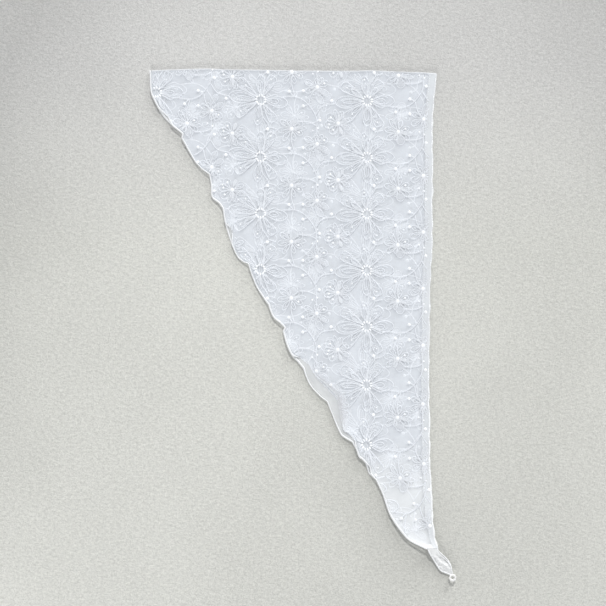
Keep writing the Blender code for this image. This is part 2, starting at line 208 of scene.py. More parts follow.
# How much more both layers stand off the surface at the wavy edge: along the edge, height.
STANDS = ((0, 0.3), (20, 0.6), (42, 0.4), (60, 0.8), (76, 0.2), (95, 0.0), (114, -0.1), (135, 0.0), (162, -0.3), (185, 0.0),
          (213, -0.6), (240, -0.3), (262, 0.0), (278, 0.2), (302, 0.1), (325, 0.3), (345, 0.9), (378, 1.1), (400, 1.0),
          (429, 1.0), (446, 0.4), (462, 0.0), (480, -0.5), (496, 0.0), (510, 0.4), (540, 0.2), (553.6, 0.2))
DRAW, EDGE_LIFT = (np.convolve(np.pad(np.interp(ALONG, [r[0] for r in DRAWN], [r[k] for r in DRAWN]), 8, "edge"), _soft, "valid")
                   for k in (1, 2))


def column(rows, k, key):
    return np.interp(key, [r[0] for r in rows], [r[k] for r in rows])


def wavy(t):
    along = SHORT_EDGE * np.asarray(t, float)
    out = np.interp(along, ALONG, OUT)
    dx, dy = SHORT_EDGE_DIR
    return np.stack((dx * along + dy * out, dy * along - dx * out), -1)


def unit(a):
    return a / np.maximum(np.linalg.norm(a, axis=-1, keepdims=True), 1e-9)


def inward(t):
    t = np.asarray(t, float)
    run = unit(wavy(np.minimum(t + 0.004, 1)) - wavy(np.maximum(t - 0.004, 0)))
    side = np.stack((-run[..., 1], run[..., 0]), -1)
    return unit(0.75 * side + 0.25 * np.array((1.0, 0.0)))


def ripple(x, parts):
    """A slow, uneven line: waves of (height, length, shift)."""
    return sum(h * np.sin(2 * np.pi * x / l + p) for h, l, p in parts)


def straight(t, upper=True):
    down = HALF_LONG_EDGE * np.asarray(t, float)
    waver = ripple(down, ((0.26, 28.4, 0.4), (0.20, 17.0, 2.0), (0.30, 83.0, 1.0)))
    if not upper:
        waver = waver + ripple(down, ((0.42, 61.0, 2.5), (0.28, 23.0, 0.9)))
    waver = waver * np.clip(down / 25, 0, 1) * np.clip((HALF_LONG_EDGE - down) / 25, 0, 1)
    return np.stack((FOLD_LENGTH + column(LONG_EDGE, 1, down) + waver, -FOLD_DROP - down), -1)


def hem_width(t):
    return HEM_WIDTH + (HEM_NECK_WIDTH - HEM_WIDTH) * np.clip((np.asarray(t) - 0.93) / 0.07, 0, 1)


def draw(t, upper):
    return np.interp(SHORT_EDGE * np.asarray(t, float), ALONG, DRAW) if upper else np.zeros_like(np.asarray(t, float))


def row_start(t, upper):
    return wavy(t) + inward(t) * (draw(t, upper) + ROLL_WIDTH + SEAM)[..., None]


def row_length(t, upper):
    return ROLL_WIDTH + SEAM + np.linalg.norm(straight(t, upper) - row_start(t, upper), axis=-1)


def plan(t, inset, upper):
    """Point of the layout on row t, at a distance from that layer's wavy edge."""
    t, inset = np.broadcast_arrays(np.asarray(t, float), np.asarray(inset, float))
    first = wavy(t) + inward(t) * (draw(t, upper) + np.minimum(inset, ROLL_WIDTH + SEAM))[..., None]
    start, end = row_start(t, upper), straight(t, upper)
    span = np.linalg.norm(end - start, axis=-1)
    share = np.maximum(inset - ROLL_WIDTH - SEAM, 0) / span
    spot = np.where((inset <= ROLL_WIDTH + SEAM)[..., None], first, start + (end - start) * share[..., None])
    low, up = level(t * 0, inset, spot, upper)
    bow = column(FOLD_LINE, 1, spot[..., 0]) * np.exp(-HALF_LONG_EDGE * t / 40.0)
    back = ((up - low) / 2 + 0.5) * np.maximum(0, 1 - t * 12.0)
    return np.stack((spot[..., 0], spot[..., 1] + bow - back), -1)


def fade(distance, reach):
    return np.clip(1.0 - distance / reach, 0, 1) ** 2


def creases(spot, rows):
    rise = np.zeros(spot.shape[:-1])
    for k, (start, end, width, height) in enumerate(rows):
        a, b = np.array(start, float), np.array(end, float)
        run = b - a
        share = ((spot - a) @ run) / (run @ run)
        bent = np.clip(share, -0.25, 1.25)
        line = a + bent[..., None] * run
        off = np.linalg.norm(spot - line, axis=-1)
        ends = np.clip(1.25 - np.abs(share - 0.5) * 1.6, 0, 1)
        uneven = 0.75 + 0.25 * np.sin(share * 7.0 + 1.7 * k)
        rise += height * uneven * ends * ends * (3 - 2 * ends) * np.exp(-(off / width) ** 2)
    return rise


def level(t, inset, spot, upper):
    """Heights of the middle of the lower and of the upper layer."""
    along, down = SHORT_EDGE * t, HALF_LONG_EDGE * t
    length = row_length(t, upper)
    to_hem = np.maximum(0, length - hem_width(t) - inset)
    inside = inset + draw(t, upper) - ROLL_WIDTH - SEAM
    low_edge = fade(inside, column(REACH, 2, along))
    up_edge = fade(inside, column(REACH, 1, along))
    hem = fade(to_hem, 10.0)
    rise = np.interp(along, ALONG, RISE)
    drawn = np.clip(np.interp(along, ALONG, DRAW) / 4.0, 0, 1)
    lower = 0.5 + np.maximum(0.15 * low_edge, 0.1 * hem) + (LOWER_SHARE + 0.35 * drawn) * rise * low_edge
    upper_ = 1.9 + np.maximum(0.35 * up_edge, 0.2 * hem) + rise * up_edge
    stands = column(STANDS, 1, along)
    lower = lower + 0.8 * stands * low_edge
    upper_ = upper_ + stands * up_edge
    upper_ = upper_ + FOLD_PUFF * np.exp(-down / FOLD_PUFF_REACH)
    pitch = LAYER_PITCH
    if upper:
        lies = drawn * fade(np.maximum(inset - ROLL_WIDTH - SEAM, 0), 24.0)
        pitch = LAYER_PITCH - 1.2 * lies
        upper_ = upper_ + (lower + pitch + np.interp(along, ALONG, EDGE_LIFT) - upper_) * lies
    upper_ = np.maximum(upper_, lower + pitch)
    return lower, upper_


def height(t, inset, spot, upper):
    """Height of one layer, with its creases."""
    low, up = level(t, inset, spot, upper)
    t = np.broadcast_to(t, low.shape)
    calm = np.clip(t * 30.0, 0, 1)                # none at the fold itself
    soft = creases(spot, CREASES_LOWER)
    if not upper:
        return low - 0.14 + calm * np.maximum(soft, 0) * 0.8
    return up - 0.1 + calm * (creases(spot, CREASES_UPPER) * 0.9 + np.maximum(soft, 0) * 0.8)


# ------------------------------------------------------------- mesh helpers
def make(name, points, faces, skin, smooth=True, uv=None, sharp=None):
    """A mesh piece from layout millimetres."""
    mesh = bpy.data.meshes.new(name)
    points = np.asarray(points, float) - CORNER
    points[:, 2] = np.maximum(points[:, 2], 0.01)      # nothing goes below the surface it lies on
    points = points * MM
    mesh.from_pydata(points.tolist(), [], faces)
    mesh.materials.append(skin)
    if uv is not None:
        layer = mesh.uv_layers.new(name="thread")
        index = np.zeros(len(mesh.loops), int)
        mesh.loops.foreach_get("vertex_index", index)
        layer.data.foreach_set("uv", np.asarray(uv, np.float32)[index].ravel())
    if smooth:
        mesh.shade_smooth()
        if sharp:
            mesh.set_sharp_from_angle(angle=math.radians(sharp))
    made = bpy.data.objects.new(name, mesh)
    scene.collection.objects.link(made)
    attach(made, "root")
    return made


def grid_faces(rows, columns, start=0, closed=False, flip=False):
    faces = []
    for i in range(rows - 1):
        for j in range(columns if closed else columns - 1):
            n = (j + 1) % columns
            a, b = start + i * columns + j, start + i * columns + n
            c, d = start + (i + 1) * columns + n, start + (i + 1) * columns + j
            faces.append((a, d, c, b) if flip else (a, b, c, d))
    return faces


# ------------------------------------------------------------- materials
def nodes_of(skin):
    skin.use_nodes = True
    return skin.node_tree.nodes, skin.node_tree.links, skin.node_tree.nodes["Principled BSDF"]


def put(node, **values):
    for key, value in values.items():
        node.inputs[key.replace("_", " ")].default_value = value


def noise(nodes, links, source, scale, detail=3.0, rough=0.55):
    made = nodes.new("ShaderNodeTexNoise")
    made.inputs["Scale"].default_value = scale
    made.inputs["Detail"].default_value = detail
    made.inputs["Roughness"].default_value = rough
    links.new(source, made.inputs["Vector"])
    return made.outputs["Fac"]


def mapped(nodes, links, source, scale=(1, 1, 1), turn=(0, 0, 0)):
    made = nodes.new("ShaderNodeMapping")
    made.inputs["Scale"].default_value = scale
    made.inputs["Rotation"].default_value = turn
    links.new(source, made.inputs["Vector"])
    return made.outputs["Vector"]


def mix_colour(nodes, links, factor, first, second):
    made = nodes.new("ShaderNodeMix")
    made.data_type = "RGBA"
    for key, value in (("A", first), ("B", second)):
        socket = [s for s in made.inputs if s.name == key and s.type == "RGBA"][0]
        if isinstance(value, tuple):
            socket.default_value = (*value, 1.0)
        else:
            links.new(value, socket)
    links.new(factor, made.inputs["Factor"])
    return [s for s in made.outputs if s.type == "RGBA"][0]


def ranged(nodes, links, source, low, high, to_low, to_high):
    made = nodes.new("ShaderNodeMapRange")
    made.inputs["From Min"].default_value = low
    made.inputs["From Max"].default_value = high
    made.inputs["To Min"].default_value = to_low
    made.inputs["To Max"].default_value = to_high
    links.new(source, made.inputs["Value"])
    return made.outputs["Result"]


def summed(nodes, links, first, second, kind="ADD", factor=None):
    made = nodes.new("ShaderNodeMath")
    made.operation = kind
    links.new(first, made.inputs[0])
    if second is not None:
        if isinstance(second, (int, float)):
            made.inputs[1].default_value = second
        else:
            links.new(second, made.inputs[1])
    return made.outputs[0]


def voile(name, colour, dim, alpha, gathers=0.0):
    """Sheer plain weave: crossed yarns, thick and thin places, and a soft nap."""
    skin = bpy.data.materials.new(name)
    nodes, links, shader = nodes_of(skin)
    where = nodes.new("ShaderNodeTexCoord").outputs["Object"]
    warp = noise(nodes, links, mapped(nodes, links, where, (1400, 60, 60)), 1.0, 2.0)
    weft = noise(nodes, links, mapped(nodes, links, where, (60, 1400, 60)), 1.0, 2.0)
    slubs = noise(nodes, links, mapped(nodes, links, where, (170, 30, 30)), 1.0, 3.0)
    slubs2 = noise(nodes, links, mapped(nodes, links, where, (30, 170, 30)), 1.0, 3.0)
    cloud = noise(nodes, links, where, 26.0, 2.0)
    weave = summed(nodes, links, warp, weft)
    both = summed(nodes, links, slubs, slubs2)
    crepe = summed(nodes, links, noise(nodes, links, where, 430.0, 2.0, 0.6), 0.8, "MULTIPLY")
    tone = summed(nodes, links, summed(nodes, links, both, cloud), summed(nodes, links, weave, 0.5, "MULTIPLY"))
    tone = summed(nodes, links, tone, crepe)
    share = ranged(nodes, links, tone, 1.93, 2.87, 0.0, 1.0)
    flat = mix_colour(nodes, links, share, dim, colour)
    if gathers:                                    # the cloth is gathered, so denser, towards the points
        split = nodes.new("ShaderNodeSeparateXYZ")
        links.new(where, split.inputs[0])
        dense = ranged(nodes, links, split.outputs["Y"], -0.113, -0.160, 0.0, gathers)
        flat = mix_colour(nodes, links, dense, flat, (0.965, 0.985, 1.0))
    links.new(flat, shader.inputs["Base Color"])
    put(shader, Roughness=0.85, Alpha=alpha)
    shader.inputs["Specular IOR Level"].default_value = 0.25
    shader.inputs["Sheen Weight"].default_value = 0.25
    shader.inputs["Sheen Roughness"].default_value = 0.5
    waves = []
    for axis in ("X", "Y"):
        yarn = nodes.new("ShaderNodeTexWave")
        yarn.bands_direction = axis
        put(yarn, Scale=480.0, Distortion=1.2, Detail=1.0)
        yarn.inputs["Detail Scale"].default_value = 1.0
        links.new(where, yarn.inputs["Vector"])
        waves.append(yarn.outputs["Fac"])
    relief = summed(nodes, links, waves[0], waves[1])
    bump = nodes.new("ShaderNodeBump")
    put(bump, Strength=0.3, Distance=0.00015)
    links.new(relief, bump.inputs["Height"])
    wide = nodes.new("ShaderNodeBump")
    put(wide, Strength=0.5, Distance=0.0006)
    links.new(noise(nodes, links, where, 120.0, 2.0), wide.inputs["Height"])
    links.new(bump.outputs["Normal"], wide.inputs["Normal"])
    links.new(wide.outputs["Normal"], shader.inputs["Normal"])
    return skin


def thread(name, colour, dim, pitch, strength=0.5):
    """Twisted thread, its turns across the UV's first direction, in metres."""
    skin = bpy.data.materials.new(name)
    nodes, links, shader = nodes_of(skin)
    where = nodes.new("ShaderNodeTexCoord")
    twist = nodes.new("ShaderNodeTexWave")
    twist.bands_direction = "DIAGONAL"
    put(twist, Scale=1.0, Distortion=0.6, Detail=1.0)
    links.new(mapped(nodes, links, where.outputs["UV"], (0.35 / pitch, 0.5 / pitch, 1)), twist.inputs["Vector"])
    grain = noise(nodes, links, where.outputs["Object"], 900.0, 2.0)
    tone = summed(nodes, links, summed(nodes, links, twist.outputs["Fac"], 0.5, "MULTIPLY"), grain)
    share = ranged(nodes, links, tone, 0.35, 1.0, 0.0, 1.0)
    links.new(mix_colour(nodes, links, share, dim, colour), shader.inputs["Base Color"])
    put(shader, Roughness=0.55)
    shader.inputs["Specular IOR Level"].default_value = 0.3
    shader.inputs["Sheen Weight"].default_value = 0.3
    shader.inputs["Sheen Roughness"].default_value = 0.4
    bump = nodes.new("ShaderNodeBump")
    put(bump, Strength=strength, Distance=0.0002)
    links.new(tone, bump.inputs["Height"])
    links.new(bump.outputs["Normal"], shader.inputs["Normal"])
    return skin


VOILE = voile("voile", (0.884, 0.915, 0.959), (0.814, 0.845, 0.891), 0.235, 0.9)
UNDER_VOILE = voile("voile_under", (0.884, 0.915, 0.959), (0.826, 0.857, 0.903), 0.72, 0.9)
SINGLE_VOILE = voile("voile_single", (0.83, 0.85, 0.875), (0.76, 0.78, 0.80), 0.55)
DOUBLE_VOILE = voile("voile_doubled", (0.975, 0.985, 1.0), (0.94, 0.95, 0.975), 0.22)
FOLD_VOILE = voile("voile_at_fold", (0.745, 0.77, 0.80), (0.69, 0.71, 0.735), 0.64)
HEM_VOILE = voile("hem_voile", (0.944, 0.965, 0.980), (0.872, 0.895, 0.910), 0.50, 0.7)
TIP_VOILE = voile("tip_voile", (0.865, 0.87, 0.865), (0.765, 0.77, 0.765), 0.80)
STITCHES = thread("embroidery_thread", (0.770, 0.791, 0.824), (0.71, 0.731, 0.764), 0.0011)
SATIN = thread("satin_dots", (0.925, 0.935, 0.95), (0.87, 0.88, 0.895), 0.0011)
UNDER_STITCHES = thread("embroidery_thread_under", (0.86, 0.88, 0.905), (0.80, 0.82, 0.845), 0.0011)
OVERLOCK = thread("overlock_thread", (0.835, 0.84, 0.845), (0.755, 0.76, 0.765), 0.0011)
HEM_CORD = thread("hem_cord", (0.90, 0.91, 0.915), (0.82, 0.83, 0.835), 0.0011)
LOOP_SKIN = thread("loop_thread", (0.90, 0.895, 0.885), (0.80, 0.79, 0.77), 0.0012)


# ------------------------------------------------------------- the cloth
ROWS = 232
COLUMNS = 92
NOSE = 10
STEPS = np.linspace(0.0, 1.0, ROWS)
SHARES = (np.arange(COLUMNS) / (COLUMNS - 1)) ** 1.3


def layer_grid(upper):
    """Points of one layer, a row for each step down the edge."""
    t = STEPS[:, None]
    length = row_length(STEPS, upper)[:, None]
    inset = 0.9 + (length - 1.7) * SHARES[None, :]
    spot = plan(t, inset, upper)
    z = height(t, inset, spot, upper)
    return np.concatenate((spot, z[..., None]), -1), inset, length


UPPER, UPPER_INSET, UPPER_LENGTH = layer_grid(True)
LOWER, LOWER_INSET, LOWER_LENGTH = layer_grid(False)


def nose_rows(low, up, steps):
    """Rows round the fold between the first rows of the two layers."""
    rows = []
    radius = (up[:, 2] - low[:, 2]) / 2
    mid = (low + up) / 2
    for k in range(1, steps):
        angle = math.pi * k / steps - math.pi / 2
        row = mid.copy()
        row[:, 1] += math.cos(angle) * radius
        row[:, 2] += math.sin(angle) * radius
        rows.append(row)
    return np.array(rows)


SHELL = np.concatenate((LOWER[::-1], nose_rows(LOWER[0], UPPER[0], NOSE), UPPER))
cloth = make("cloth", SHELL.reshape(-1, 3), grid_faces(len(SHELL), COLUMNS), VOILE)
cloth.data.materials.append(FOLD_VOILE)
cloth.data.materials.append(UNDER_VOILE)
cloth.data.materials.append(SINGLE_VOILE)
_bare = (LOWER_INSET < np.interp(SHORT_EDGE * STEPS, ALONG, DRAW)[:, None] + 0.9) & (np.interp(SHORT_EDGE * STEPS, ALONG, DRAW) > 1.2)[:, None]
_bare = _bare[::-1]
for _face in range((ROWS + NOSE - 1) * (COLUMNS - 1)):
    _row, _column = divmod(_face, COLUMNS - 1)
    if _row >= ROWS - 1:
        cloth.data.polygons[_face].material_index = 1
    else:
        cloth.data.polygons[_face].material_index = 3 if _bare[_row, _column] else 2
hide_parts("shawl_panel")


def surface(grid, inset, length, upper, edge=2.4, far=1.1):
    """A tree to drop stitches on, inside the edges and over the hem."""
    keep = (inset > edge) & (inset < length - far)
    keep &= (STEPS < 0.957)[:, None] | ((inset > 9.0) & (STEPS < 0.985)[:, None] & (not upper))
    if not upper:                                  # the seam allowance that shows there is plain
        along = (SHORT_EDGE * STEPS)[:, None]
        keep &= ~((along > 330) & (along < 428) & (inset < np.interp(along, ALONG, DRAW) + 2.0))
    over = 0.30 * np.clip((inset - length + hem_width(STEPS)[:, None]) / 1.5, 0, 1)
    laid = grid.copy()
    laid[..., 2] += over if upper else -over
    points = [Vector(p) for p in laid.reshape(-1, 3)]
    faces = []
    for i in range(ROWS - 1):
        for j in range(COLUMNS - 1):
            if keep[i, j] and keep[i, j + 1] and keep[i + 1, j] and keep[i + 1, j + 1]:
                a = i * COLUMNS + j
                faces.append((a, a + 1, a + COLUMNS + 1, a + COLUMNS))
    return BVHTree.FromPolygons(points, faces)


ON_UPPER = surface(UPPER, UPPER_INSET, UPPER_LENGTH, True)
ON_LOWER = surface(LOWER, LOWER_INSET, LOWER_LENGTH, False)


# ------------------------------------------------------------- hem of the long edge
def hem_section(width):
    """Distances from the outer edge and heights, round the turned hem."""
    top = [(width, 0.06), (width - 1.0, 0.20), (width * 0.55, 0.26), (1.9, 0.30), (0.7, 0.34), (0.15, 0.22)]
    return top + [(0.0, 0.0)] + [(a, -h) for a, h in reversed(top)]


def hem_piece():
    count = len(hem_section(8.0))
    rows = []
    pucker = [rng.uniform(-0.09, 0.09) for _ in range(ROWS)]
    pucker = np.convolve(pucker, (0.25, 0.5, 0.25), "same")

    def one(t, upper, shift):
        length = float(row_length(np.array(t), upper))
        width = float(hem_width(t))
        ring = []
        for back, rise in hem_section(width):
            inset = np.array(length - back)
            spot = plan(np.array(t), inset, upper)
            z = float(height(np.array(t), inset, spot, upper))
            ring.append((spot[0], spot[1], z + rise + shift))
        return np.array(ring)

    lower = [one(t, False, 0.02) for t in STEPS]
    upper = [one(t, True, pucker[i] if i > 3 else 0.0) for i, t in enumerate(STEPS)]
    # round the fold the section turns over, so its top faces out
    low, up = lower[0], upper[0]
    flipped = np.array([r[::-1] for r in lower])
    nose = []
    a, b = flipped[0], up
    mid_y, mid_z = (a[:, 1] + b[:, 1]) / 2, (a[:, 2] + b[:, 2]) / 2
    for k in range(1, NOSE):
        angle = math.pi * k / NOSE - math.pi / 2
        row = np.stack(((a[:, 0] + b[:, 0]) / 2, mid_y + math.cos(angle) * (b[:, 2] - a[:, 2]) / 2,
                        mid_z + math.sin(angle) * (b[:, 2] - a[:, 2]) / 2), -1)
        nose.append(row)
    rings = list(flipped[::-1]) + nose + upper
    points = np.array(rings).reshape(-1, 3)
    faces = grid_faces(len(rings), count, closed=True)
    faces.append(tuple(range(count)))
    faces.append(tuple((len(rings) - 1) * count + k for k in reversed(range(count))))
    return make("hem", points, faces, HEM_VOILE, sharp=50)


hem = hem_piece()
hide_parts("long_edge_hem")


# ------------------------------------------------------------- threads
class Threads:
    """Collects stitches as closed, low, pointed-oval strands."""

    def __init__(self):
        self.points, self.faces, self.uv = [], [], []

    def strand(self, spots, normals, width, thick, ends=True, wobble=0.1):
        count = len(spots)
        if count < 2:
            return
        spots, normals = np.asarray(spots, float), np.asarray(normals, float)
        run = np.gradient(spots, axis=0)
        side = unit(np.cross(normals, run))
        out = unit(normals)
        far = np.concatenate(((0,), np.cumsum(np.linalg.norm(np.diff(spots, axis=0), axis=1))))
        wide = np.full(count, width / 2) * np.array([1 + rng.uniform(-wobble, wobble) for _ in range(count)])
        tall = np.full(count, thick / 2)
        if ends:
            for k in (0, -1):
                wide[k] *= 0.35
                tall[k] *= 0.5
        base = len(self.points)
        for k in range(count):
            c = spots[k]
            self.points += [c - side[k] * wide[k], c + out[k] * tall[k], c + side[k] * wide[k], c - out[k] * tall[k]]
            x = far[k] * MM
            w = wide[k] * MM
            self.uv += [(x, -w), (x, 0.0), (x, w), (x, 0.0)]
        for k in range(count - 1):
            a, b = base + 4 * k, base + 4 * k + 4
            for j in range(4):
                n = (j + 1) % 4
                self.faces.append((a + j, b + j, b + n, a + n))
        self.faces.append((base, base + 1, base + 2, base + 3))
        last = base + 4 * (count - 1)
        self.faces.append((last + 3, last + 2, last + 1, last))

    def disc(self, spot, normal, radius, thick, sides=10, stretch=1.0, angle=0.0):
        """A padded satin dot, domed on both sides."""
        spot = np.asarray(spot, float)
        base = len(self.points)
        rings = ((0.0, 1.0), (0.62, 0.8), (1.0, 0.0))
        for sign in (1, -1):
            for share, rise in rings[:2] if sign > 0 else rings[:2]:
                if share == 0.0:
                    self.points.append(spot + np.array((0, 0, sign * thick / 2)))
                    self.uv.append((0.0, 0.0))
                else:
                    for k in range(sides):
                        a = 2 * math.pi * k / sides
                        x, y = math.cos(a) * radius * share * stretch, math.sin(a) * radius * share
                        px = x * math.cos(angle) - y * math.sin(angle)
                        py = x * math.sin(angle) + y * math.cos(angle)
                        self.points.append(spot + np.array((px, py, sign * thick / 2 * rise)))
                        self.uv.append((px * MM, py * MM))
        rim = len(self.points)
        for k in range(sides):
            a = 2 * math.pi * k / sides
            x, y = math.cos(a) * radius * stretch, math.sin(a) * radius
            px = x * math.cos(angle) - y * math.sin(angle)
            py = x * math.sin(angle) + y * math.cos(angle)
            self.points.append(spot + np.array((px, py, 0)))
            self.uv.append((px * MM, py * MM))
        top, low = base, base + 1 + sides
        for k in range(sides):
            n = (k + 1) % sides
            self.faces.append((top, top + 1 + k, top + 1 + n))
            self.faces.append((top + 1 + k, rim + k, rim + n, top + 1 + n))
            self.faces.append((low, low + 1 + n, low + 1 + k))
            self.faces.append((low + 1 + n, rim + n, rim + k, low + 1 + k))

    def piece(self, name, skin):
        return make(name, self.points, self.faces, skin, uv=self.uv, sharp=62)


def spline(points, closed=False, step=1.25):
    """A smooth line through points, cut at even steps."""
    p = np.asarray(points, float)
    n = len(p)
    if n == 2:
        count = max(2, int(round(np.linalg.norm(p[1] - p[0]) / step)) + 1)
        return p[0] + (p[1] - p[0]) * np.linspace(0, 1, count)[:, None]
    if closed:
        q = np.concatenate((p[-1:], p, p[:2]))
        spans = n
    else:
        q = np.concatenate((2 * p[:1] - p[1:2], p, 2 * p[-1:] - p[-2:-1]))
        spans = n - 1
    x = np.linspace(0, 1, 9)[:-1, None]
    out = []
    for k in range(spans):
        a, b, c, d = q[k], q[k + 1], q[k + 2], q[k + 3]
        out.append(0.5 * (2 * b + (c - a) * x + (2 * a - 5 * b + 4 * c - d) * x ** 2
                          + (3 * b - 3 * c + d - a) * x ** 3))
    fine = np.concatenate(out + [q[spans + 1][None] if not closed else out[0][:1]])
    far = np.concatenate(((0,), np.cumsum(np.linalg.norm(np.diff(fine, axis=0), axis=1))))
    count = max(2, int(round(far[-1] / step)) + 1)
    at = np.linspace(0, far[-1], count)
    return np.stack((np.interp(at, far, fine[:, 0]), np.interp(at, far, fine[:, 1])), -1)


# ------------------------------------------------------------- embroidery chart
# One repeat of the pattern, in millimetres from the middle of its large flower: x to the
# right, y down.  Every second column of the cloth has it upside down.
LINE = 0.66
FINE = 0.52


def petal(angle, length, width, base=5.0, blunt=False):
    """A loop from a flower's ring: a petal, round or blunt at its tip."""
    a = math.radians(angle)
    ax, ay = math.cos(a), math.sin(a)
    if blunt:
        shape = ((0.0, 0.12), (0.3, 0.5), (0.62, 0.86), (0.88, 1.0), (1.0, 0.72))
        tip_ = [(length * 1.0 + 0.6, 0.0)]
    else:
        shape = ((0.0, 0.10), (0.24, 0.6), (0.5, 0.97), (0.75, 0.92), (0.93, 0.5))
        tip_ = [(length, 0.0)]
    left = [(base + s_ * (length - base), w * width / 2) for s_, w in shape]
    line = left + tip_ + [(s_, -w) for s_, w in reversed(left)]
    return [(ax * s_ - ay * w, ay * s_ + ax * w) for s_, w in line]


RING = [(4.6 * math.cos(math.radians(a)), 4.6 * math.sin(math.radians(a))) for a in range(8, 360, 33)][:11]

# The nine petals of the large flower: angle (0 is right, 90 is down), length, width, blunt, then
# the inner loop's length and width.
LARGE = (
    (262, 25, 8.5, False, 18, 3), (216, 20, 3.5, False, 0, 0), (211, 29, 10, True, 19, 4),
    (174, 32, 12, False, 25, 4), (139, 29, 10, True, 20, 4), (90, 25, 9, False, 20, 4),
    (62, 27, 9, True, 18, 3.5), (356, 27, 11, False, 18, 5), (304, 24, 9, True, 17, 4),
)
FLOWER_DOTS = ((-15, 14, 0.9), (-3, -21, 0.9), (10, 21, 0.8), (-20, -12, 0.8))

VINES = (
    ((5, 2), (14, 6), (20, 4), (34, 5), (44, 1), (52, -8), (56, -17), (56, -30), (57, -38)),
    ((48, -2), (50, 7), (55, 14)),
    ((48, -2), (43, -4)),
    ((34, 5), (31, 7), (29, 10)),
    ((55, -12), (62, -3), (75, 0)),
    ((56, -23), (49, -20), (38, -19)),
    ((0, -5), (1, -14), (7, -23), (8, -26), (7, -28)),
    ((8, -26), (12, -27), (16, -28)),
    ((7, 28), (3, 26), (4, 20), (4, 11), (3, 6)),
    ((31, -31), (31, -40), (34, -51)),
)
DOTS = ((28.5, 10, 1.6), (42.5, 11, 1.55), (42.5, -4, 1.6), (59, -17.5, 1.6), (71, 2.5, 1.65),
        (7, -28.5, 1.7), (57, -25.5, 1.0), (52, -28, 0.9), (67.5, -24, 0.9))

# Small flowers: middle, then petals as (angle, length, width, kind); 0 degrees is right, 90 down.
SMALL = (
    ((31, -27), ((190, 14, 5.5, "vein"), (145, 14, 5, "loop"), (235, 15, 4.5, "loop"), (285, 12, 4, "loop"),
                 (335, 12, 5, "dot"), (5, 15, 4, "vein"), (30, 13, 5, "loop"), (75, 13, 8, "hatch"),
                 (110, 9, 3.5, "loop"))),
    ((56.5, 15.5), ((155, 14, 5.5, "vein"), (205, 13, 5, "loop"), (95, 9, 4, "loop"), (240, 9, 3.5, "loop"),
                    (30, 12, 6, "dot"), (60, 11, 4.5, "loop"), (325, 14, 5.5, "hatch"), (285, 9, 4, "loop"))),
    ((77.5, -19.5), ((105, 14, 4, "vein"), (80, 12, 3.5, "loop"), (70, 13, 4, "loop"), (145, 14, 8.5, "dot"),
                     (190, 14, 8, "dot"), (235, 13, 7.5, "dot"), (290, 12, 4, "solid"), (335, 13, 4, "loop"),
                     (20, 12, 4.5, "vein"))),
)
LEAF_AT, LEAF_SHAPE = (54.5, 10), (305, 13, 6)


def fill(points, angle, pitch):
    """Parallel stitches across a closed shape: their two ends."""
    p = np.asarray(points, float)
    a = math.radians(angle)
    turn = np.array(((math.cos(a), math.sin(a)), (-math.sin(a), math.cos(a))))
    q = p @ turn.T
    lines = []
    y = q[:, 1].min() + pitch * 0.6
    while y < q[:, 1].max() - pitch * 0.3:
        cuts = []
        for k in range(len(q)):
            b, c = q[k], q[(k + 1) % len(q)]
            if (b[1] - y) * (c[1] - y) < 0:
                cuts.append(b[0] + (c[0] - b[0]) * (y - b[1]) / (c[1] - b[1]))
        cuts.sort()
        for left, right in zip(cuts[::2], cuts[1::2]):
            if right - left > 0.8:
                ends = np.array(((left, y), (right, y))) @ turn
                lines.append(ends)
        y += pitch
    return lines


